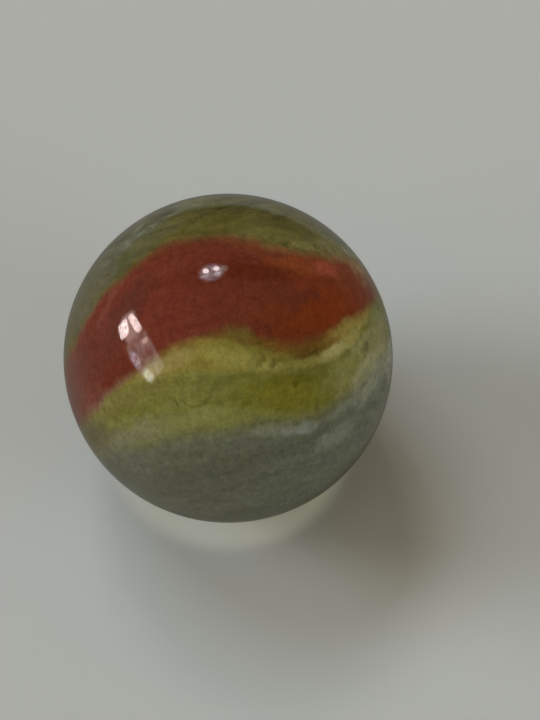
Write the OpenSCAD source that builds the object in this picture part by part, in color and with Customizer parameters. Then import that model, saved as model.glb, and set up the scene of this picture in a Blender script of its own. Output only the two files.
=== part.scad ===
// Glass marble: one ball of fused glass.
// Ribbons of coloured glass lie one over another just under its clear skin.

/* [Ball] */
// Diameter of the ball
ball_d = 16; // [12:0.5:25]
// Sides of a full circle on the ball
ball_sides = 96; // [48:8:160]

/* [Ribbons] */
// Tip of the ribbons towards the back, from upright
ribbon_tip = 62; // [0:1:90]
// Roll of the ribbons to the left, from level
ribbon_roll = 16; // [-45:1:45]
// Clear glass over the topmost ribbon
skin_t = 0.1; // [0.05:0.05:0.3]
// Step down from each ribbon to the one below it
layer_step = 0.08; // [0.05:0.01:0.15]
// Thickness of the red ribbon at its middle
red_t = 1.2; // [0.4:0.1:2]
// Thickness of the yellow ribbons at their middle
yellow_t = 0.7; // [0.3:0.1:1.5]
// Slices that each ribbon is drawn in along its length
ribbon_slices = 36; // [18:6:60]

/* [Wear] */
// Width of the widest nick in the surface
nick_w = 1.2; // [0.6:0.1:2]
// Depth of a nick, as a share of its width
nick_depth_share = 0.04; // [0.02:0.01:0.1]

/* [Hidden] */

ball_r = ball_d / 2;
ribbon_sides = 8; // strips across a ribbon
tip_share = 0.02; // thickness left at a ribbon's feather edge

// Outline of each ribbon in degrees: [along, lower edge, upper edge].
// Along is measured from the front, to the right; the edges from the ribbons' own equator.
red_outline = [
    [-150, 13, 15], [-120, 4, 18], [-85, -8, 19], [-65, -6, 25], [-45, 2, 36],
    [-25, 8, 45], [-8, 10, 48], [5, 9, 45], [15, 2, 43], [27, -3, 36],
    [40, -1, 28], [55, 2, 24], [75, 6, 18], [95, 9, 14], [112, 11, 12]
];
fringe_outline = [
    [-2, 7, 9], [8, 4, 8], [15, -2, 6], [24, -6, 4], [32, -7, 3],
    [42, -5, 3], [54, 0, 5], [66, 4, 6]
];
mustard_outline = [
    [-62, -5, -3], [-45, -1, 4], [-25, 1, 10], [-11, -1, 12], [4, -6, 10],
    [18, -9, 4], [31, -10, 2], [42, -7, 3], [62, 0, 6], [84, 5, 7]
];
yellow_outline = [
    [-165, 9, 11], [-120, -14, 28], [-85, -22, 38], [-60, -21, 48], [-42, -20, 63],
    [-10, -23, 67], [15, -27, 64], [30, -27, 60], [45, -21, 52], [60, -15, 40],
    [75, -8, 28], [100, 1, 18], [130, 8, 10]
];

// Nicks in the surface: [along, up, share of the widest].
nicks = [[-17, -10, 1], [14, -3, 0.35], [16, -7, 0.3], [32, -7, 0.35], [54, -9, 0.35]];

// A point of a ribbon, from its distance to the ball's centre and its two angles.
function on_ball(r, along, up) = r * [cos(up) * sin(along), -cos(up) * cos(along), sin(up)];

// A smooth curve through four neighbouring values, at a share t of the way from b to c.
function curve(a, b, c, d, t) =
    b + 0.5 * t * (c - a + t * (2 * a - 5 * b + 4 * c - d + t * (3 * (b - c) + d - a)));

// The outline at a place s, counted in stations from its first one.
function outline_at(outline, s) =
    let (last = len(outline) - 1, i = min(floor(s), last - 1))
    curve(outline[max(i - 1, 0)], outline[i], outline[i + 1], outline[min(i + 2, last)], s - i);

// One ring of a ribbon: across its outer face, then back across its inner one.
function ribbon_ring(cut, r, t) =
    let (strips = [for (j = [0:ribbon_sides]) j / ribbon_sides])
    concat(
        [for (w = strips) on_ball(r, cut[0], cut[1] + w * (cut[2] - cut[1]))],
        [for (j = [ribbon_sides:-1:0])
            let (w = strips[j], fat = max(tip_share, sin(180 * w)))
            on_ball(r - t * fat, cut[0], cut[1] + w * (cut[2] - cut[1]))]
    );

// A ribbon of glass under the surface: its outer face follows the ball, and it thins to its edges.
module ribbon(outline, r, t) {
    last = len(outline) - 1;
    ring_n = 2 * (ribbon_sides + 1);
    rings = [for (i = [0:ribbon_slices])
        let (s = i / ribbon_slices, thin = max(tip_share, sin(180 * s)))
        ribbon_ring(outline_at(outline, s * last), r, t * thin)];
    sides = [for (i = [0:ribbon_slices - 1], j = [0:ring_n - 1])
        let (k = (j + 1) % ring_n, a = i * ring_n, b = a + ring_n)
        each [[a + j, a + k, b + k], [a + j, b + k, b + j]]];
    start = [for (j = [ring_n - 1:-1:0]) j];
    end = [for (j = [0:ring_n - 1]) ribbon_slices * ring_n + j];
    polyhedron([for (ring = rings) each ring], concat([start, end], sides));
}

// The angles of the ribbons and nicks are their own; this lays them into the ball.
module laid_in_ball() {
    rotate([-ribbon_tip, 0, 0]) rotate([0, -ribbon_roll, 0]) children();
}

module red_ribbon() {
    color("#8a3422") ribbon(red_outline, ball_r - skin_t, red_t);
}

module orange_fringe() {
    color("#7a5220") ribbon(fringe_outline, ball_r - skin_t - layer_step, yellow_t);
}

module mustard_ribbon() {
    color("#a0923c") ribbon(mustard_outline, ball_r - skin_t - 2 * layer_step, yellow_t);
}

module yellow_ribbon() {
    color("#7f7d30") ribbon(yellow_outline, ball_r - skin_t - 3 * layer_step, yellow_t);
}

// A shallow scoop where the ball has been struck.
module nick(w) {
    depth = w * nick_depth_share;
    scoop_r = (w * w / 4 + depth * depth) / (2 * depth);
    translate([0, -(ball_r + scoop_r - depth), 0]) sphere(r = scoop_r, $fn = ball_sides);
}

module clear_glass() {
    color("#8d9484", 0.45) difference() {
        sphere(d = ball_d, $fn = ball_sides);
        laid_in_ball() for (n = nicks) rotate([0, 0, n[0]]) rotate([-n[1], 0, 0]) nick(nick_w * n[2]);
    }
}

module marble() {
    laid_in_ball() {
        yellow_ribbon();
        mustard_ribbon();
        orange_fringe();
        red_ribbon();
    }
    clear_glass();
}

marble();
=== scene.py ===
import bpy
import math
from mathutils import Euler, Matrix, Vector


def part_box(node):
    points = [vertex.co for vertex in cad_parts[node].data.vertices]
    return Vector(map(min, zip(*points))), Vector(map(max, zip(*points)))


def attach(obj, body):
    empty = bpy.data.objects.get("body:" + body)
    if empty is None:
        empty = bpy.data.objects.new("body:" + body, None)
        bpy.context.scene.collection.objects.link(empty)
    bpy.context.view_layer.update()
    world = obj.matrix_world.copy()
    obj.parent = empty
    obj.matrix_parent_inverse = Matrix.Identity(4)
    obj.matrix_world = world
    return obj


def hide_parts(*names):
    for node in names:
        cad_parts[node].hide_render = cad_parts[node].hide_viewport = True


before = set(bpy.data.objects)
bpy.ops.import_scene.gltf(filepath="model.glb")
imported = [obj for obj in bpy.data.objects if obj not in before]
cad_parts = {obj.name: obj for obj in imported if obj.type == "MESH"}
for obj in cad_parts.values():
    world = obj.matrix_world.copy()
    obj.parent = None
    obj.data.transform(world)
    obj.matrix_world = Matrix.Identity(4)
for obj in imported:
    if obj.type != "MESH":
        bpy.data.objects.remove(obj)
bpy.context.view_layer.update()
scene = bpy.context.scene
scene.view_settings.view_transform = "Standard"

mm = 0.001
ballRadius = (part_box("marble")[1].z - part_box("marble")[0].z) / 2
print("frame loaded, the ball is", round(2 * ballRadius / mm, 2), "mm across")


def linear(hexColour):
    # a colour as it looks on screen, turned to the linear values that shaders take
    shares = [int(hexColour[i:i + 2], 16) / 255 for i in (1, 3, 5)]
    return [s / 12.92 if s <= 0.04045 else ((s + 0.055) / 1.055) ** 2.4 for s in shares] + [1.0]


def addNode(tree, kind, inputs=None, **settings):
    # an input is a plain value, a socket to link from, or a node, which gives its first output
    made = tree.nodes.new(kind)
    for name, value in settings.items():
        setattr(made, name, value)
    for name, value in (inputs or {}).items():
        if isinstance(value, bpy.types.Node):
            value = value.outputs[0]
        if isinstance(value, bpy.types.NodeSocket):
            tree.links.new(value, made.inputs[name])
        else:
            made.inputs[name].default_value = value
    return made


def emptyTree(owner):
    # the node tree of a material, a lamp or the world, with nothing in it yet
    owner.use_nodes = True
    owner.node_tree.nodes.clear()
    return owner.node_tree


# camera: looks down on the ball from the front, a hand's width away
cameraPlan = {
    "elevation": 62,        # degrees above the floor
    "distance": 150,        # mm from the middle of the ball
    "focalLength": 154.15,  # mm, on a sensor 36 mm along its long side
    "slideRight": 2.03,     # mm, so the ball stands left of the middle
    "slideDown": 0.086,     # mm
}


def placeCamera(plan):
    tilt = math.radians(plan["elevation"])
    data = bpy.data.cameras.new("camera")
    data.sensor_width = 36
    data.lens = plan["focalLength"]
    data.clip_start = 0.01
    data.clip_end = 10
    made = bpy.data.objects.new("camera", data)
    backward = Vector((0, -math.cos(tilt), math.sin(tilt)))
    upward = Vector((0, math.sin(tilt), math.cos(tilt)))
    made.location = backward * plan["distance"] * mm - upward * plan["slideDown"] * mm
    made.location.x = plan["slideRight"] * mm
    made.rotation_euler = (math.pi / 2 - tilt, 0, 0)
    scene.collection.objects.link(made)
    scene.camera = made


placeCamera(cameraPlan)
print("camera placed")

# the ribbons of coloured glass are drawn round the ball's own pole, then laid in it:
# tipped back, so that they cross its upper front, and rolled, so that they rise to the right
layOfRibbons = {"tip": 62, "roll": 16}

# each glass has its outlines, in degrees (along, from the front to the right; up, from the ribbons'
# own equator), then its colour and soft patches of other tints, placed and sized in the same degrees
# some tints below are painted light, shade or reflection, as marked at each
redRibbon = {
    "lower": [(-180, 12), (-150, 12), (-120, 4), (-85, -8), (-65, -6), (-45, 0.1), (-32, 3.6),
              (-18, 7.2), (-4, 8.8), (6, 10.2), (15, 1.6), (27, -2), (40, 0.6), (55, 2.3), (75, 6.5),
              (95, 9), (112, 12), (180, 12)],
    "upper": [(-180, 10), (-150, 14), (-120, 18), (-85, 14), (-70, 16.6), (-60, 21.7), (-47, 33),
              (-38, 37), (-28, 41.8), (-12, 46.2), (0, 45.2), (8, 44.4), (18, 42.2), (30, 34.3),
              (45, 26.2), (60, 22.4), (75, 19), (95, 13), (112, 11), (180, 10)],
    "edges": (2.8, 3.2),  # how softly it ends below and above: degrees, either way from the outline
    "clear": 0.0,         # share of light that goes through
    "paint": "#602b1d",
    "streaks": ("#572216", 0.4),
    "wisps": ("#683224", 0.4),
    "tints": [
        {"at": (-43, 29), "size": (10, 2.4), "tilt": 50, "paint": "#703c34", "share": 0.6},  # milky margin
        {"at": (-33, 26), "size": (20, 8), "tilt": 38, "paint": "#4c281e", "share": 0.7},
        {"at": (-4, 43), "size": (30, 5.5), "paint": "#5a2a17", "share": 0.75},  # painted shade: the red darker along its top, and warmer
        {"at": (29, 33), "size": (20, 5), "tilt": -30, "paint": "#69361f", "share": 0.8},  # orange margin
        {"at": (22, 16), "size": (16, 8), "paint": "#66301a", "share": 0.5},  # warmer middle
        {"at": (43, 21.6), "size": (28, 6), "tilt": -14, "paint": "#803f1d", "share": 0.85},
        {"at": (50, 20), "size": (10, 4), "tilt": -8, "paint": "#984a36", "share": 0.8},  # painted highlight: a faint pinkish reflection on the red
        {"at": (17, 27), "size": (24, 5), "tilt": -22, "paint": "#541f0f", "share": 0.85},  # dark streak
        {"at": (-4, 30), "size": (22, 5), "tilt": -6, "paint": "#54220f", "share": 0.5},
        {"at": (42, 15), "size": (16, 5), "tilt": -16, "paint": "#733219", "share": 0.8},
        {"at": (2, 45.5), "size": (5, 1.4), "paint": "#46381c", "share": 0.7},  # olive nick in its top
        {"at": (42, 6), "size": (30, 8), "tilt": 8, "paint": "#7c340c", "share": 0.75},  # painted light: the red's lower right, lit from inside by light through the ball
        {"at": (24, 6), "size": (16, 8), "tilt": -30, "paint": "#6c3012", "share": 0.6},
        {"at": (-74, 5), "size": (24, 18), "tilt": 20, "paint": "#5c3a30", "share": 0.8},  # greyer left end by the rim: partly its own milky glass, partly a painted reflection
        {"at": (-60, -2), "size": (14, 6), "tilt": 25, "paint": "#683a2c", "share": 0.6},
        {"at": (-48, 16), "size": (24, 14), "tilt": 30, "paint": "#582e24", "share": 0.6},
        {"at": (62, 14), "size": (16, 16), "paint": "#743922", "share": 0.7},
        {"at": (77, 21), "size": (16, 10), "paint": "#967850", "share": 0.9},  # paler right end by the rim: partly its own smoky glass, partly a painted reflection
        {"at": (82, 10), "size": (12, 14), "paint": "#7c5c40", "share": 0.8},
    ],
}
fringeMargin = 1.5  # degrees that the fringe shows past the red's upper edge
fringe = {
    "lower": [(-180, 14), (-12, 14), (-4, 8.6), (1, 7.2), (9, 1.5), (15, -2), (24, -6), (32, -6.5),
              (42, -4), (54, 0.5), (64, 4), (80, 20), (180, 20)],
    "upper": [(along, up + fringeMargin) for along, up in redRibbon["upper"]],
    "edges": (1.3, 3),
    "clear": 0.0,
    "paint": "#6a521e",
    "streaks": ("#50380f", 0.6),
    "wisps": ("#766028", 0.5),
    "tints": [
        {"at": (0, 60), "size": (300, 50), "paint": "#5a4024", "share": 1},  # over the red
        {"at": (40, 30), "size": (24, 8), "tilt": -30, "paint": "#88643a", "share": 0.9},
        {"at": (-60, 25), "size": (26, 14), "tilt": 40, "paint": "#5c4636", "share": 0.8},
        {"at": (18, 42), "size": (12, 5), "tilt": -10, "paint": "#725030", "share": 0.8},
        {"at": (60, 24), "size": (9, 6), "paint": "#92784e", "share": 0.8},
        {"at": (30, -1), "size": (28, 3), "tilt": 4, "paint": "#6e4c1e", "share": 0.7},  # redder edge
        {"at": (51, 1), "size": (16, 4), "tilt": 14, "paint": "#968444", "share": 0.9},
        {"at": (4, 7), "size": (12, 6), "tilt": -40, "paint": "#604e22", "share": 0.85},
        {"at": (24, -6.2), "size": (18, 1.1), "tilt": -6, "paint": "#4c370e", "share": 0.75},  # dark thread
        {"at": (30, -6), "size": (2.6, 1.6), "tilt": 30, "paint": "#463610", "share": 0.6},
        {"at": (12, -1.2), "size": (8, 1.1), "tilt": -32, "paint": "#4c370e", "share": 0.8},
    ],
}
mustard = {
    "lower": [(-180, 20), (-80, 10), (-62, -5), (-45, -1.5), (-32, 1), (-20, -0.5), (-11, -2),
              (2, -5.5), (10, -8.5), (20, -9.5), (31, -11), (42, -9), (54, -4), (64, 1.5), (84, 8),
              (110, 20), (180, 20)],
    "upper": [(-180, 13), (180, 13)],
    "edges": (2.2, 2.2),
    "clear": 0.0,
    "paint": "#74682c",
    "streaks": ("#64602a", 0.6),
    "wisps": ("#82783a", 0.5),
    "tints": [
        {"at": (-8, 5), "size": (18, 5), "tilt": -12, "paint": "#7a6e2c", "share": 0.6},
        {"at": (-20, 3), "size": (16, 4), "tilt": 14, "paint": "#877848", "share": 0.7},  # pale left part
        {"at": (3, -1.5), "size": (17, 4.4), "tilt": -32, "paint": "#868040", "share": 0.85},  # pale tongue
        {"at": (14, -7.8), "size": (5, 1.6), "tilt": -30, "paint": "#928c4e", "share": 0.7},
        {"at": (-44, 1), "size": (20, 3), "tilt": 18, "paint": "#7a6a4e", "share": 0.8},  # tan edge
        {"at": (-58, -4), "size": (20, 3.4), "tilt": 24, "paint": "#765e4c", "share": 0.8},
        {"at": (41, -6.6), "size": (14, 3.4), "tilt": 14, "paint": "#a8a168", "share": 0.85},  # torn streak
        {"at": (52, -1.5), "size": (13, 4), "tilt": 26, "paint": "#948a4c", "share": 0.8},
        {"at": (24, -8.4), "size": (11, 2.4), "tilt": -4, "paint": "#857e40", "share": 0.75},
        {"at": (10.8, -4.6), "size": (2.4, 1.2), "tilt": 60, "paint": "#5c5420", "share": 0.6},  # specks
        {"at": (13.4, -6.4), "size": (1.2, 1.8), "tilt": -30, "paint": "#564e1e", "share": 0.6},
    ],
}
yellow = {
    "lower": [(-180, 10), (-165, 8), (-120, -14), (-85, -21), (-60, -19.4), (-50, -20), (-42, -21.4),
              (-25, -22.2), (-12, -23.6), (0, -24.6), (10, -26.6), (22, -28.8), (30, -28.3),
              (42, -24.6), (50, -21.3), (60, -17.3), (75, -12), (100, 1), (130, 8), (180, 10)],
    "upper": [(-180, 8), (-120, 8), (-85, 4), (-65, 6), (-45, 15), (0, 30), (45, 15), (80, 14),
              (100, 10), (130, 8), (180, 8)],
    "edges": (4.4, 2.8),
    "clear": 0.0,
    "paint": "#6e6c34",
    "streaks": ("#5c5c24", 0.6),
    "wisps": ("#7a7a44", 0.6),
    "tints": [
        {"at": (-30, -16), "size": (26, 5), "tilt": -6, "paint": "#76774e", "share": 0.8},  # brighter part
        {"at": (-58, -16), "size": (18, 6), "paint": "#625e44", "share": 0.8},
        {"at": (-76, -12), "size": (26, 12), "tilt": 10, "paint": "#564d34", "share": 0.8},  # brownish end, darker on the left as painted shade
        {"at": (-40, -4), "size": (26, 5), "tilt": 6, "paint": "#686032", "share": 0.7},
        {"at": (-6, -18.9), "size": (23, 5.6), "tilt": -10, "paint": "#7f8148", "share": 0.75},
        {"at": (-44, -16.5), "size": (16, 4), "paint": "#76745a", "share": 0.7},
        {"at": (14, -24), "size": (15, 2.8), "tilt": -10, "paint": "#808046", "share": 0.85},
        {"at": (20, -18), "size": (26, 9), "tilt": -10, "paint": "#757022", "share": 0.85},  # deep middle
        {"at": (20, -13), "size": (16, 2.5), "tilt": -8, "paint": "#625d14", "share": 0.6},
        {"at": (47, -14), "size": (20, 8), "tilt": 20, "paint": "#86834e", "share": 0.85},  # greyed end
        {"at": (66, -9), "size": (18, 13), "tilt": 25, "paint": "#848154", "share": 0.9},
        {"at": (56, -16.8), "size": (17, 4.8), "tilt": 24, "paint": "#9d9b78", "share": 0.75},
        {"at": (53, -7), "size": (8, 3.6), "tilt": 24, "paint": "#8e8a5c", "share": 0.8},
        {"at": (21, -15), "size": (2.4, 1.2), "paint": "#55500c", "share": 0.7},  # small dark spots
        {"at": (2, -17), "size": (3, 1.2), "tilt": 10, "paint": "#5c5812", "share": 0.6},
        {"at": (54.4, -9.2), "size": (3.4, 2.4), "paint": "#55563a", "share": 0.6},
        {"at": (-20.5, -9.2), "size": (0.9, 2.0), "paint": "#55541e", "share": 0.8},
    ],
}
olive = {
    "lower": [(-180, 9), (-120, 8), (-85, 4), (-45, 20), (0, 30), (45, 15), (80, 10), (110, 8),
              (180, 9)],
    "upper": [(-180, 7), (-165, 10), (-120, 16), (-85, 27), (-66, 38), (-50, 49), (-36, 55), (-20, 62),
              (-6, 65.4), (15, 65), (30, 62), (38, 59.4), (46, 53.6), (56, 43), (68, 30), (100, 18),
              (130, 10), (180, 7)],
    "edges": (3.2, 3.2),
    "clear": 0.15,
    "paint": "#5d5528",
    "streaks": ("#423f1a", 0.8),
    "wisps": ("#68663c", 0.4),
    "tints": [
        {"at": (-34, 52), "size": (28, 11), "tilt": 24, "paint": "#504f3b", "share": 0.7},
        {"at": (-60, 36), "size": (30, 14), "tilt": 30, "paint": "#575340", "share": 0.8},  # greyed left: greyer glass, darker there as painted shade
        {"at": (-18, 54), "size": (26, 5), "tilt": 10, "paint": "#555131", "share": 0.75},
        {"at": (-37, 47), "size": (7, 4), "tilt": 30, "paint": "#4c4c22", "share": 0.6},
        {"at": (38, 38.5), "size": (26, 6), "tilt": -26, "paint": "#6f6837", "share": 0.8},  # mossy part
        {"at": (62, 33), "size": (15, 15), "tilt": -50, "paint": "#827c52", "share": 0.8},  # greyed right
        {"at": (77, 25), "size": (9, 12), "paint": "#948f74", "share": 0.8},  # paler along the right rim: painted light
        {"at": (47, 30.4), "size": (11, 3), "tilt": -18, "paint": "#827a48", "share": 0.75},
        {"at": (15, 51.5), "size": (25, 7), "tilt": -8, "paint": "#575021", "share": 0.8},
        {"at": (53, 37.5), "size": (9, 6), "tilt": -40, "paint": "#5c5628", "share": 0.8},
    ],
}
greyGlass = {
    "paint": "#787c6b",
    "clear": 0.28,
    "streaks": ("#686c5b", 0.7),
    "wisps": ("#848875", 0.5),
    "tints": [
        {"at": (13, -28.9), "size": (16, 3.4), "tilt": -9, "paint": "#9ca190", "share": 0.65},  # pale wisp
        {"at": (21, -31.4), "size": (8, 3.2), "tilt": -4, "paint": "#a4aca8", "share": 0.7},
        {"at": (38, -38), "size": (13, 5), "tilt": 10, "paint": "#a2a694", "share": 0.5},
        {"at": (44, -26), "size": (14, 2.6), "tilt": 20, "paint": "#a2a692", "share": 0.45},  # a faint one
        {"at": (61, -20.5), "size": (18, 5), "tilt": 30, "paint": "#a2a48e", "share": 0.7},
        {"at": (78, -8), "size": (12, 20), "paint": "#b2b29e", "share": 0.9},  # paler right edge: painted light along the right rim
        {"at": (77, -36), "size": (13, 11), "tilt": 10, "paint": "#888a78", "share": 0.7},
        {"at": (30, -34), "size": (12, 2), "tilt": 12, "paint": "#70745e", "share": 0.8},  # darker lines
        {"at": (-4, -36), "size": (26, 3), "tilt": -4, "paint": "#717562", "share": 0.7},
        {"at": (-74, -26), "size": (34, 10), "tilt": -4, "paint": "#5f614c", "share": 0.8},  # painted shade: darker on the left side
        {"at": (-50, -38), "size": (30, 8), "tilt": 4, "paint": "#686a59", "share": 0.7},
        {"at": (-33, -28.5), "size": (32, 7), "tilt": -3, "paint": "#6a6d5a", "share": 0.7},
        {"at": (0, 90), "size": (500, 42), "paint": "#66644e", "share": 0.95},  # smoky pole
        {"at": (-80, 50), "size": (54, 36), "paint": "#5c5943", "share": 0.95},  # painted shade: darker along the left edge
        {"at": (0, 76), "size": (30, 8), "paint": "#787c60", "share": 0.7},  # paler top rim
        {"at": (-25, 65.5), "size": (18, 6), "tilt": 20, "paint": "#54523a", "share": 0.95},
        {"at": (24, 68), "size": (30, 7), "tilt": -14, "paint": "#706c46", "share": 0.7},
        {"at": (62, 46), "size": (18, 13), "tilt": -50, "paint": "#7d7852", "share": 0.85},  # mossy rim
    ],
}

# the streaks and wisps of every glass come from one wave of noise, drawn out round the ribbons' pole
streakWave = {
    "size": 0.625,                  # mm
    "drawnOut": (0.16, 0.16, 1.1),  # the smaller, the longer
    "detail": 5,
    "roughness": 0.6,
    "curl": 0.4,
    "streaks": (0.42, 0.68),        # where in the wave they begin, and where they are full
    "wisps": (0.5, 0.3),
}
# how far a tint spreads, how its rim is torn (mm across, then how much) and where it fades out
tintEdge = {"spread": 1.5, "torn": (0.6, -0.2), "fade": (0.23, 0.77)}
# how the outlines waver: mm across, then degrees either way
waver = {"slow": (2.5, 1.4), "quick": (0.5, 0.6), "sideways": (0.8, 2.5)}
# what the glass shows up close: mm across, then how strongly each shades the colour
grain = {
    "speckle": (0.12, 0.20),
    "mottle": (0.35, 0.18),
    "strokes": (0.25, 0.10),
    "strokeStretch": (0.14, 0.035, 1),  # a degree is 0.14 mm; strokes run across the ribbons
    "threads": (0.3, 0.4),
    "threadStretch": (0.15, 0.15, 1),
    "threadsFrom": (35, 60),            # degrees up: they show only round the smoky pole
}
# the ripple, in mm, is too faint to see but in what the skin mirrors
skin = {"roughness": 0.03, "ior": 1.5, "rippleSize": 0.9, "rippleDepth": 0.004}
# a half-moon bruise, where a knock has cracked the glass under the skin
bruise = {"at": (-12.2, -6.8), "radius": 5.6, "width": 0.9, "paint": "#50501c", "share": 0.42}


def ribbonPlace(tree):
    # a point's place in the ribbons' own frame: in mm, then in degrees along and up
    place = addNode(tree, "ShaderNodeTexCoord").outputs["Object"]
    turned = addNode(tree, "ShaderNodeMapping", {
        "Vector": place, "Scale": [1 / mm] * 3,
        "Rotation": [math.radians(layOfRibbons["tip"]), math.radians(layOfRibbons["roll"]), 0]})
    xyz = addNode(tree, "ShaderNodeSeparateXYZ", {0: turned}).outputs
    forward = addNode(tree, "ShaderNodeMath", {0: xyz["Y"], 1: -1}, operation="MULTIPLY")
    turn = addNode(tree, "ShaderNodeMath", {0: xyz["X"], 1: forward}, operation="ARCTAN2")
    along = addNode(tree, "ShaderNodeMath", {0: turn}, operation="DEGREES")
    unit = addNode(tree, "ShaderNodeVectorMath", {0: turned}, operation="NORMALIZE")
    height = addNode(tree, "ShaderNodeSeparateXYZ", {0: unit}).outputs["Z"]
    lift = addNode(tree, "ShaderNodeMath", {0: height}, operation="ARCSINE")
    up = addNode(tree, "ShaderNodeMath", {0: lift}, operation="DEGREES")
    return turned, along, up


def swayed(tree, value, point, size, reach):
    # value pushed to and fro by up to reach, by noise whose lumps are about size mm;
    # such noise seldom leaves the range from 0.2 to 0.8
    noise = addNode(tree, "ShaderNodeTexNoise", {"Vector": point, "Scale": 1 / size, "Detail": 2})
    push = addNode(tree, "ShaderNodeMapRange", {0: noise, 1: 0.2, 2: 0.8, 3: -reach, 4: reach})
    return addNode(tree, "ShaderNodeMath", {0: value, 1: push}, operation="ADD")


def outlineCurve(tree, along, points):
    # one edge of a ribbon as a smooth curve: degrees along in, degrees up out
    share = addNode(tree, "ShaderNodeMapRange", {0: along, 1: -180, 2: 180})
    bend = addNode(tree, "ShaderNodeFloatCurve", {"Value": share})
    curve = bend.mapping.curves[0]
    while len(curve.points) < len(points):
        curve.points.new(0.5, 0.5)
    for spot, (x, y) in zip(curve.points, points):
        spot.location = ((x + 180) / 360, (y + 90) / 180)
    bend.mapping.update()
    return addNode(tree, "ShaderNodeMapRange", {0: bend, 3: -90, 4: 90})


def insideOf(tree, glass, along, up):
    # 1 inside the glass's outline and 0 outside it, with soft edges
    lower = outlineCurve(tree, along, glass["lower"])
    upper = outlineCurve(tree, along, glass["upper"])
    shares = []
    for inner, outer, edge in ((up, lower, glass["edges"][0]), (upper, up, glass["edges"][1])):
        gap = addNode(tree, "ShaderNodeMath", {0: inner, 1: outer}, operation="SUBTRACT")
        shares.append(addNode(tree, "ShaderNodeMapRange", {0: gap, 1: -edge, 2: edge},
                              interpolation_type="SMOOTHSTEP"))
    return addNode(tree, "ShaderNodeMath", {0: shares[0], 1: shares[1]}, operation="MULTIPLY")


def layered(tree, colour, *layers):
    # lays other colours over a colour, one after another, each by its share
    for share, over in layers:
        blend = addNode(tree, "ShaderNodeMix", {0: share, 6: colour, 7: over}, data_type="RGBA")
        colour = blend.outputs[2]
    return colour


def paintOf(tree, glass, point, along, up):
    # the glass's colour, with its streaks and its soft patches of other tints, some of them painted light
    # and shade
    stretched = addNode(tree, "ShaderNodeMapping", {"Vector": point, "Scale": streakWave["drawnOut"]})
    wave = addNode(tree, "ShaderNodeTexNoise", {
        "Vector": stretched, "Scale": 1 / streakWave["size"], "Detail": streakWave["detail"],
        "Roughness": streakWave["roughness"], "Distortion": streakWave["curl"]})
    layers = []
    for kind in ("streaks", "wisps"):
        paint, most = glass[kind]
        begin, full = streakWave[kind]
        share = addNode(tree, "ShaderNodeMapRange", {0: wave, 1: begin, 2: full, 4: most})
        layers.append((share, linear(paint)))
    spot = addNode(tree, "ShaderNodeCombineXYZ", {"X": along, "Y": up})
    begin, full = tintEdge["fade"]
    for tint in glass["tints"]:
        wide, tall = (tintEdge["spread"] * side for side in tint["size"])
        away = addNode(tree, "ShaderNodeMapping", {
            "Vector": spot, "Location": [*tint["at"], 0], "Scale": [wide, tall, 1],
            "Rotation": [0, 0, math.radians(tint.get("tilt", 0))]}, vector_type="TEXTURE")
        # 1 in the patch's middle, 1/3 at its rim, and torn a little by noise
        near = addNode(tree, "ShaderNodeTexGradient", {0: away}, gradient_type="SPHERICAL")
        torn = swayed(tree, near.outputs["Fac"], point, *tintEdge["torn"])
        share = addNode(tree, "ShaderNodeMapRange", {0: torn, 1: begin, 2: full, 4: tint["share"]},
                        interpolation_type="SMOOTHSTEP")
        layers.append((share, linear(tint["paint"])))
    return layered(tree, linear(glass["paint"]), *layers)


def bruised(tree, plan, colour, along, up):
    # a thin dark arc: the lower half of a ring
    middle, radius = plan["at"], plan["radius"]
    spot = addNode(tree, "ShaderNodeCombineXYZ", {"X": along, "Y": up})
    away = addNode(tree, "ShaderNodeVectorMath", {0: spot, 1: [*middle, 0]}, operation="DISTANCE")
    off = addNode(tree, "ShaderNodeMath", {0: away.outputs["Value"], 1: radius}, operation="SUBTRACT")
    off = addNode(tree, "ShaderNodeMath", {0: off}, operation="ABSOLUTE")
    line = addNode(tree, "ShaderNodeMapRange", {0: off, 1: plan["width"], 2: 0, 4: plan["share"]},
                   interpolation_type="SMOOTHSTEP")
    below = addNode(tree, "ShaderNodeMapRange", {0: up, 1: middle[1], 2: middle[1] - radius / 2})
    share = addNode(tree, "ShaderNodeMath", {0: line, 1: below}, operation="MULTIPLY")
    return layered(tree, colour, (share, linear(plan["paint"])))


def grained(tree, colour, point, along, up):
    # specks, mottling and strokes shade the colour all over, and threads do round the pole
    shade = swayed(tree, 1.0, point, *grain["speckle"])
    shade = swayed(tree, shade, point, *grain["mottle"])
    across = addNode(tree, "ShaderNodeCombineXYZ", {"X": along, "Y": up})
    across = addNode(tree, "ShaderNodeMapping", {"Vector": across, "Scale": grain["strokeStretch"]})
    shade = swayed(tree, shade, across, *grain["strokes"])
    drawnOut = addNode(tree, "ShaderNodeMapping", {"Vector": point, "Scale": grain["threadStretch"]})
    threads = swayed(tree, 0.0, drawnOut, *grain["threads"])
    begin, full = grain["threadsFrom"]
    poleward = addNode(tree, "ShaderNodeMapRange", {0: up, 1: begin, 2: full})
    shade = addNode(tree, "ShaderNodeMath", {0: threads, 1: poleward, 2: shade},
                    operation="MULTIPLY_ADD")
    return addNode(tree, "ShaderNodeHueSaturation", {"Color": colour, "Value": shade})


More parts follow.
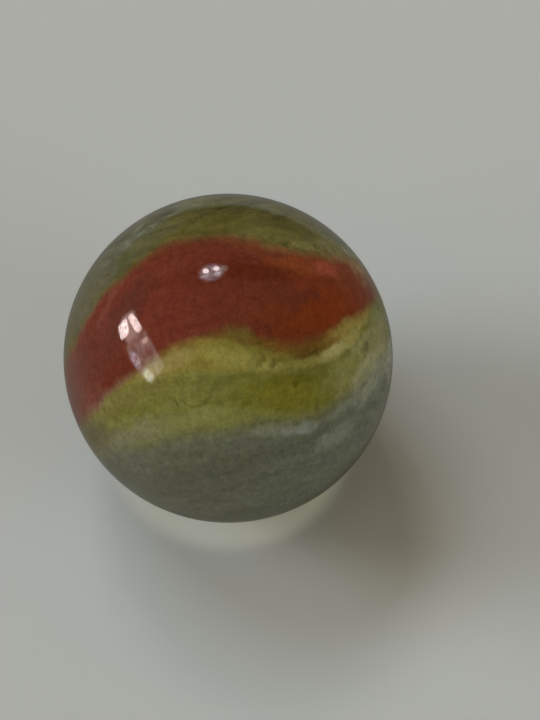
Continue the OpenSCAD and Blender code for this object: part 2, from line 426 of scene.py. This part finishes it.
def fusedRibbonGlass():
    # soda-lime glass, pressed round while soft: a mirror-smooth clear skin over opaque and smoky colour
    made = bpy.data.materials.new("fusedRibbonGlass")
    tree = emptyTree(made)
    point, along, up = ribbonPlace(tree)
    up = swayed(tree, up, point, *waver["slow"])
    up = swayed(tree, up, point, *waver["quick"])
    along = swayed(tree, along, point, *waver["sideways"])
    colour = paintOf(tree, greyGlass, point, along, up)
    clear = greyGlass["clear"]
    for glass in (olive, yellow, mustard, fringe, redRibbon):
        inside = insideOf(tree, glass, along, up)
        colour = layered(tree, colour, (inside, paintOf(tree, glass, point, along, up)))
        clear = addNode(tree, "ShaderNodeMix", {0: inside, 2: clear, 3: glass["clear"]})
    colour = bruised(tree, bruise, colour, along, up)
    colour = grained(tree, colour, point, along, up)
    ripple = addNode(tree, "ShaderNodeTexNoise", {
        "Vector": point, "Scale": 1 / skin["rippleSize"], "Detail": 2})
    bump = addNode(tree, "ShaderNodeBump", {
        "Height": ripple, "Strength": 1.0, "Distance": skin["rippleDepth"] * mm})
    shader = addNode(tree, "ShaderNodeBsdfPrincipled", {
        "Base Color": colour, "Transmission Weight": clear, "Roughness": skin["roughness"],
        "IOR": skin["ior"], "Normal": bump})
    addNode(tree, "ShaderNodeOutputMaterial", {"Surface": shader})
    return made


def newTree(name, *inputs):
    # an empty geometry tree with a named input for each size
    tree = bpy.data.node_groups.new(name, "GeometryNodeTree")
    for label in inputs:
        tree.interface.new_socket(label, in_out="INPUT", socket_type="NodeSocketFloat")
    tree.interface.new_socket("Geometry", in_out="OUTPUT", socket_type="NodeSocketGeometry")
    return tree


def closeTree(tree, shape, material):
    # every tree ends in smooth, real faces with their material on
    smooth = addNode(tree, "GeometryNodeSetShadeSmooth", {"Geometry": shape})
    real = addNode(tree, "GeometryNodeRealizeInstances", {"Geometry": smooth})
    glazed = addNode(tree, "GeometryNodeSetMaterial", {"Geometry": real, "Material": material})
    addNode(tree, "NodeGroupOutput", {"Geometry": glazed})


def plainMesh(name, tree, sizes, material):
    # runs the tree once, with its inputs set by identifier, and keeps the result as a plain mesh
    carrier = bpy.data.objects.new(name + "Carrier", bpy.data.meshes.new(name))
    scene.collection.objects.link(carrier)
    modifier = carrier.modifiers.new(name, "NODES")
    modifier.node_group = tree
    for socket in tree.interface.items_tree:
        if socket.in_out == "INPUT":
            modifier[socket.identifier] = sizes[socket.name]
    evaluated = carrier.evaluated_get(bpy.context.evaluated_depsgraph_get())
    made = bpy.data.objects.new(name, bpy.data.meshes.new_from_object(evaluated))
    bpy.data.objects.remove(carrier)
    scene.collection.objects.link(made)
    made.data.materials.clear()
    made.data.materials.append(material)
    return made


# the thick ribbons as bodies of their own, just under the skin
ribbonBodies = {
    "redRibbonBody": {
        "lower": redRibbon["lower"], "upper": redRibbon["upper"], "thickness": 1.2, "glass": redRibbon},
    "yellowRibbonBody": {
        "lower": yellow["lower"], "upper": redRibbon["lower"], "thickness": 0.7, "glass": yellow},
}
ribbonSizes = {
    "skin": 0.1,        # mm of clear glass over them
    "inset": 2.0,       # degrees that they stop short of their outline
    "reach": 104,       # degrees along, either way from the front
    "alongSteps": 160,
    "roundSteps": 40,
    "weld": 0.0005,     # mm, closes the seam and the ends
}


def ribbonTree(name, body, sizes, material):
    # a grid rolled up into a tube of lens-shaped section, which follows the two outlines round the ball
    tree = newTree(name, "Radius", "Thickness")
    group = addNode(tree, "NodeGroupInput").outputs
    grid = addNode(tree, "GeometryNodeMeshGrid", {
        "Vertices X": sizes["alongSteps"], "Vertices Y": sizes["roundSteps"]})
    flat = addNode(tree, "GeometryNodeInputPosition")
    xyz = addNode(tree, "ShaderNodeSeparateXYZ", {0: flat}).outputs
    along = addNode(tree, "ShaderNodeMath", {0: xyz["X"], 1: 2 * sizes["reach"]}, operation="MULTIPLY")
    rolledUp = addNode(tree, "ShaderNodeMath", {0: xyz["Y"], 1: 2 * math.pi}, operation="MULTIPLY")
    lower = outlineCurve(tree, along, body["lower"])
    upper = outlineCurve(tree, along, body["upper"])
    middle = addNode(tree, "ShaderNodeMix", {0: 0.5, 2: lower, 3: upper})
    gap = addNode(tree, "ShaderNodeMath", {0: upper, 1: lower}, operation="SUBTRACT")
    half = addNode(tree, "ShaderNodeMath", {0: gap, 1: 0.5, 2: -sizes["inset"]}, operation="MULTIPLY_ADD")
    half = addNode(tree, "ShaderNodeMath", {0: half, 1: 0}, operation="MAXIMUM")
    # the ends taper to nothing, in width and in thickness: the root of 1 - (2x)^4
    taper = addNode(tree, "ShaderNodeMath", {0: xyz["X"], 1: 4}, operation="POWER")
    taper = addNode(tree, "ShaderNodeMath", {0: taper, 1: -2 ** 4, 2: 1}, operation="MULTIPLY_ADD",
                    use_clamp=True)
    taper = addNode(tree, "ShaderNodeMath", {0: taper}, operation="SQRT")
    width = addNode(tree, "ShaderNodeMath", {0: half, 1: taper}, operation="MULTIPLY")
    depth = addNode(tree, "ShaderNodeMath", {0: group["Thickness"], 1: taper}, operation="MULTIPLY")
    cosine = addNode(tree, "ShaderNodeMath", {0: rolledUp}, operation="COSINE")
    up = addNode(tree, "ShaderNodeMath", {0: cosine, 1: width, 2: middle}, operation="MULTIPLY_ADD")
    sine = addNode(tree, "ShaderNodeMath", {0: rolledUp}, operation="SINE")
    inward = addNode(tree, "ShaderNodeMapRange", {0: sine, 1: -1, 2: 1, 3: -1, 4: 0})
    radius = addNode(tree, "ShaderNodeMath", {0: inward, 1: depth, 2: group["Radius"]},
                     operation="MULTIPLY_ADD")
    # from degrees along and up to a place, by turning the front of the ball there
    front = addNode(tree, "ShaderNodeVectorMath", {0: [0, -1, 0], "Scale": radius}, operation="SCALE")
    degrees = addNode(tree, "ShaderNodeCombineXYZ", {"X": up, "Z": along})
    turn = addNode(tree, "ShaderNodeVectorMath", {
        0: degrees, 1: [-math.radians(1), 0, math.radians(1)]}, operation="MULTIPLY")
    place = addNode(tree, "ShaderNodeVectorRotate", {"Vector": front, "Rotation": turn},
                    rotation_type="EULER_XYZ")
    shape = addNode(tree, "GeometryNodeSetPosition", {"Geometry": grid, "Position": place})
    shape = addNode(tree, "GeometryNodeMergeByDistance", {
        "Geometry": shape, "Distance": sizes["weld"] * mm})
    for lean in ((0, -layOfRibbons["roll"], 0), (-layOfRibbons["tip"], 0, 0)):
        shape = addNode(tree, "GeometryNodeTransform", {
            "Geometry": shape, "Rotation": [math.radians(angle) for angle in lean]})
    closeTree(tree, shape, material)
    return tree


def opaqueRibbonGlass(name, glass):
    # glass coloured all through, melted smooth: a deep even colour with drawn-out streaks; it takes the
    # skin's tints too, painted light and shade among them
    made = bpy.data.materials.new(name)
    tree = emptyTree(made)
    point, along, up = ribbonPlace(tree)
    shader = addNode(tree, "ShaderNodeBsdfPrincipled", {
        "Base Color": paintOf(tree, glass, point, along, up), "Roughness": 0.25, "IOR": 1.5})
    addNode(tree, "ShaderNodeOutputMaterial", {"Surface": shader})
    return made


for name, body in ribbonBodies.items():
    ribbonGlass = opaqueRibbonGlass(name + "Glass", body["glass"])
    sizes = {"Radius": ballRadius - ribbonSizes["skin"] * mm, "Thickness": body["thickness"] * mm}
    ribbon = plainMesh(name, ribbonTree(name, body, ribbonSizes, ribbonGlass), sizes, ribbonGlass)
    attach(ribbon, "root")
    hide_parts("marble")
    print(name, "made,", len(ribbon.data.polygons), "faces")

# the ball itself, with shallow nicks in its skin, where it has knocked against others
ballPlan = {
    "fineness": 7,       # times that its first few faces are divided
    "nicks": [(-17, -10, 1.0), (14, -3, 0.35), (16, -7, 0.3), (32, -7, 0.35), (54, -9, 0.35)],
    "nickWidth": 1.2,    # mm, of the widest; each nick is along, up and its share of that width
    "depthShare": 0.04,  # of a nick's own width
}


def ballDirection(along, up):
    # from the ball's middle towards a place given in the ribbons' own degrees
    turn, lift = math.radians(along), math.radians(up)
    place = Vector((math.cos(lift) * math.sin(turn), -math.cos(lift) * math.cos(turn), math.sin(lift)))
    place.rotate(Euler((0, math.radians(-layOfRibbons["roll"]), 0)))
    place.rotate(Euler((math.radians(-layOfRibbons["tip"]), 0, 0)))
    return place


def glassBallTree(plan, material):
    tree = newTree("glassBall", "Radius", "Nick Width", "Nick Depth Share")
    sizes = addNode(tree, "NodeGroupInput").outputs
    ball = addNode(tree, "GeometryNodeMeshIcoSphere", {
        "Radius": sizes["Radius"], "Subdivisions": plan["fineness"]})
    for along, up, share in plan["nicks"]:
        place = addNode(tree, "GeometryNodeInputPosition")
        outward = addNode(tree, "ShaderNodeVectorMath", {0: place}, operation="NORMALIZE")
        middle = addNode(tree, "ShaderNodeVectorMath", {
            0: ballDirection(along, up), "Scale": sizes["Radius"]}, operation="SCALE")
        away = addNode(tree, "ShaderNodeVectorMath", {0: place, 1: middle}, operation="DISTANCE")
        reach = addNode(tree, "ShaderNodeMath", {0: sizes["Nick Width"], 1: share / 2},
                        operation="MULTIPLY")
        depth = addNode(tree, "ShaderNodeMath", {0: reach, 1: sizes["Nick Depth Share"]},
                        operation="MULTIPLY")
        deepest = addNode(tree, "ShaderNodeMath", {0: depth, 1: -2}, operation="MULTIPLY")
        dip = addNode(tree, "ShaderNodeMapRange", {
            0: away.outputs["Value"], 1: 0, 2: reach, 3: deepest, 4: 0}, interpolation_type="SMOOTHSTEP")
        push = addNode(tree, "ShaderNodeVectorMath", {0: outward, "Scale": dip}, operation="SCALE")
        ball = addNode(tree, "GeometryNodeSetPosition", {"Geometry": ball, "Offset": push})
    closeTree(tree, ball, material)
    return tree


ballGlass = fusedRibbonGlass()
sizes = {"Radius": ballRadius, "Nick Width": ballPlan["nickWidth"] * mm,
         "Nick Depth Share": ballPlan["depthShare"]}
ball = plainMesh("marbleBall", glassBallTree(ballPlan, ballGlass), sizes, ballGlass)
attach(ball, "root")
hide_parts("marble")
print("ball made,", len(ball.data.polygons), "faces")

# the floor is a plain pale sheet; its far ends meet a room of the same tone
floorPlan = {
    "width": 1.6,                # metres
    "paint": "#a6a8a6",
    "mirroredPaint": "#70706c",  # how deep its tone is in the ball's gloss, close under the ball
    "mirroredFade": (5, 60),     # mm off, from that tone to the mirrored room's
    "roomPaint": "#acaca6",
    "roomLight": "#9b8860",
    "mirroredRoom": "#404040",
}


def inGloss(tree):
    # 1 for what is seen mirrored in a surface, 0 for what is seen straight or through glass
    path = addNode(tree, "ShaderNodeLightPath").outputs
    return addNode(tree, "ShaderNodeMath", {0: path["Is Glossy Ray"], 1: path["Is Transmission Ray"]},
                   operation="SUBTRACT", use_clamp=True)


def layFloor(plan):
    bpy.ops.mesh.primitive_plane_add(size=plan["width"], location=(0, 0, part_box("marble")[0].z))
    ground = bpy.context.object
    ground.name = "floor"
    sheet = bpy.data.materials.new("matteSheet")
    tree = emptyTree(sheet)
    spot = addNode(tree, "ShaderNodeTexCoord").outputs["Object"]
    away = addNode(tree, "ShaderNodeVectorMath", {0: spot}, operation="LENGTH").outputs["Value"]
    near, far = (distance * mm for distance in plan["mirroredFade"])
    share = addNode(tree, "ShaderNodeMapRange", {0: away, 1: near, 2: far})
    mirrored = layered(tree, linear(plan["mirroredPaint"]), (share, linear(plan["mirroredRoom"])))
    paint = layered(tree, linear(plan["paint"]), (inGloss(tree), mirrored))
    shader = addNode(tree, "ShaderNodeBsdfDiffuse", {"Color": paint})
    addNode(tree, "ShaderNodeOutputMaterial", {"Surface": shader})
    ground.data.materials.append(sheet)
    return ground


floor = layFloor(floorPlan)

# lamps stand twenty metres off, but their sizes are in mm as seen from half a metre;
# glow is their radiance, where a white floor under the whole light shows 1
softLights = [
    {"towards": (-0.35, 0.4, 0.84), "size": (220, 140), "glow": 8.75, "paint": "#ddf1ff"},
    {"towards": (-0.87, 0.12, 0.44), "size": (220, 220), "glow": 9.75, "paint": "#ddf1ff"},
    {"towards": (0.8, -0.35, 0.35), "size": (300, 300), "glow": 3.15, "paint": "#ddf1ff"},
]

# what the clear skin mirrors: a tall window to the left, with two bright panes over a view of trees;
# places and sizes in mm along it and across it, as seen from half a metre; a pane is round unless
# it says how square it is
window = {
    "towards": (-0.902, -0.113, 0.417),
    "roll": 12.5,
    "panes": [
        {"at": (-150, -37), "size": (102, 80), "glow": 16, "paint": "#ffe9e6",
         "square": 4.5, "soft": 0.3, "dapple": 0.4},
        {"at": (-132, 44), "size": (152, 46), "turn": 16, "glow": 14, "paint": "#ffe9e6",
         "square": 4.5, "soft": 0.3, "dapple": 0.3},
        {"at": (-138, 6), "size": (190, 132), "glow": 4.2, "paint": "#ffe2d8", "square": 4, "soft": 0.4},
        {"at": (72, 13), "size": (300, 190), "glow": 1.9, "paint": "#fff2ec", "square": 6, "dapple": 0.5},
        {"at": (-2, 65), "size": (54, 66), "glow": 6, "paint": "#ffdccc", "soft": 0.7},
        {"at": (35, -47), "size": (134, 62), "glow": 3.6, "paint": "#ece4ff",
         "square": 3, "soft": 0.6, "dapple": 0.8},
        {"at": (155, -37), "size": (120, 76), "glow": 6.5, "paint": "#f2ffec",
         "square": 2.4, "soft": 0.7, "dapple": 0.3},
        {"at": (160, 30), "size": (100, 90), "glow": 1.2, "paint": "#fff0dc", "square": 2.4, "soft": 0.7},
    ],
}
# and two round lamps high behind, in a dim fitting
ceiling = {
    "towards": (-0.158, 0.555, 0.817),
    "roll": 0,
    "panes": [
        {"at": (28, -21), "size": (37, 47), "glow": 16, "paint": "#ffe9e6", "soft": 0.5},
        {"at": (-25, -19), "size": (46, 45), "glow": 15, "paint": "#ffe9e6", "soft": 0.5},
        {"at": (0, 0), "size": (170, 140), "glow": 3.2, "paint": "#eef2ff", "soft": 0.6, "dapple": 0.5},
        {"at": (-20, 20), "size": (70, 44), "turn": 12, "glow": 4.5, "paint": "#fff2f4", "soft": 0.7},
        {"at": (46, 8), "size": (64, 24), "turn": -8, "glow": 3.5, "paint": "#ffeaea", "soft": 0.7},
        {"at": (-66, -8), "size": (58, 62), "glow": 1.3, "paint": "#f6ffe8", "soft": 0.6},
    ],
}
lampDistance = 20000  # mm
seenFrom = 500        # mm
lampScale = lampDistance / seenFrom
paneGap = 0.002       # of the distance, so that no two panes lie in one plane
# the pattern that dapples a pane, and the part of it between dark and bright
branches = {"scale": 5, "detail": 3, "range": (0.35, 0.65)}


def softenLamp(data, plan):
    # fades the lamp towards its edges and dapples it as branches would
    tree = emptyTree(data)
    spot = addNode(tree, "ShaderNodeNewGeometry").outputs["Parametric"]
    centred = addNode(tree, "ShaderNodeMapping", {
        "Vector": spot, "Location": [-1, -1, 0], "Scale": [2, 2, 0]})
    sides = addNode(tree, "ShaderNodeVectorMath", {0: centred}, operation="ABSOLUTE")
    xy = addNode(tree, "ShaderNodeSeparateXYZ", {0: sides}).outputs
    square = plan.get("square", 2)
    bent = [addNode(tree, "ShaderNodeMath", {0: xy[axis], 1: square}, operation="POWER")
            for axis in ("X", "Y")]
    both = addNode(tree, "ShaderNodeMath", {0: bent[0], 1: bent[1]}, operation="ADD")
    reach = addNode(tree, "ShaderNodeMath", {0: both, 1: 1 / square}, operation="POWER")
    fade = addNode(tree, "ShaderNodeMapRange", {0: reach, 1: 1, 2: 1 - plan.get("soft", 0.25)},
                   interpolation_type="SMOOTHSTEP")
    leaves = addNode(tree, "ShaderNodeTexNoise", {
        "Vector": spot, "Scale": branches["scale"], "Detail": branches["detail"]})
    dark, bright = branches["range"]
    dapple = plan.get("dapple", 0)
    share = addNode(tree, "ShaderNodeMapRange", {
        0: leaves, 1: dark, 2: bright, 3: 1 - dapple, 4: 1 + dapple})
    strength = addNode(tree, "ShaderNodeMath", {0: fade, 1: share}, operation="MULTIPLY")
    light = addNode(tree, "ShaderNodeEmission", {"Strength": strength})
    addNode(tree, "ShaderNodeOutputLight", {"Surface": light})


def hangLamp(name, plan, towards, roll=0):
    wide, tall = (side * lampScale * mm for side in plan["size"])
    data = bpy.data.lights.new(name, "AREA")
    data.shape = "RECTANGLE"
    data.size, data.size_y = wide, tall
    data.energy = plan["glow"] * math.pi * wide * tall
    data.color = linear(plan["paint"])[:3]
    made = bpy.data.objects.new(name, data)
    made.location = Vector(towards).normalized() * lampDistance * mm
    facing = (-made.location).to_track_quat("-Z", "Y") @ Euler((0, 0, math.radians(roll))).to_quaternion()
    made.location += facing @ Vector((*plan.get("at", (0, 0)), 0)) * lampScale * mm
    turned = Euler((0, 0, math.radians(plan.get("turn", 0)))).to_quaternion()
    made.rotation_euler = (facing @ turned).to_euler()
    made.visible_transmission = False  # nor does the ball act as a lens for it
    scene.collection.objects.link(made)
    return made


def hangPanes(name, plan):
    for index, pane in enumerate(plan["panes"]):
        lamp = hangLamp(f"{name}{index}", pane, plan["towards"], plan["roll"])
        lamp.location *= 1 - paneGap * index
        softenLamp(lamp.data, pane)


for index, plan in enumerate(softLights):
    lamp = hangLamp(f"softLight{index}", plan, plan["towards"])
    lamp.visible_glossy = False  # too wide to show in the gloss
hangPanes("windowPane", window)
hangPanes("ceilingLamp", ceiling)

# the light that the glass gathers onto the floor beneath it, as one narrow lamp that only the floor takes
gathered = {
    "middle": (-0.05, -0.45),  # mm from under the ball
    "radius": 6.3,             # mm
    "height": 500,             # mm
    "width": 0.5,              # mm, of the lamp itself
    "soft": 0.15,
    "energy": 2.58,
    "paint": "#fffbd6",
}


def lightThroughGlass(plan, floor):
    data = bpy.data.lights.new("gatheredLight", "SPOT")
    data.energy = plan["energy"]
    data.color = linear(plan["paint"])[:3]
    data.spot_size = 2 * math.atan(plan["radius"] / plan["height"])
    data.spot_blend = plan["soft"]
    data.shadow_soft_size = plan["width"] * mm
    made = bpy.data.objects.new("gatheredLight", data)
    x, y = plan["middle"]
    made.location = (x * mm, y * mm, floor.location.z + plan["height"] * mm)
    made.visible_glossy = False
    taker = bpy.data.collections.new("gatheredLightTaker")
    taker.objects.link(floor)
    made.light_linking.receiver_collection = taker
    made.light_linking.blocker_collection = taker
    scene.collection.objects.link(made)


lightThroughGlass(gathered, floor)


def lightWorld(plan):
    # plain light from all round, of the floor's own tone; the gloss shows a dimmer room
    world = bpy.data.worlds.new("paleRoom")
    scene.world = world
    tree = emptyTree(world)
    path = addNode(tree, "ShaderNodeLightPath").outputs
    seen = addNode(tree, "ShaderNodeMath", {0: path["Is Camera Ray"], 1: path["Is Transmission Ray"]},
                   operation="MAXIMUM")
    room = layered(tree, linear(plan["roomLight"]), (seen, linear(plan["roomPaint"])),
                   (inGloss(tree), linear(plan["mirroredRoom"])))
    light = addNode(tree, "ShaderNodeBackground", {"Color": room})
    addNode(tree, "ShaderNodeOutputWorld", {"Surface": light})


lightWorld(floorPlan)
print("floor, lamps and world in place")
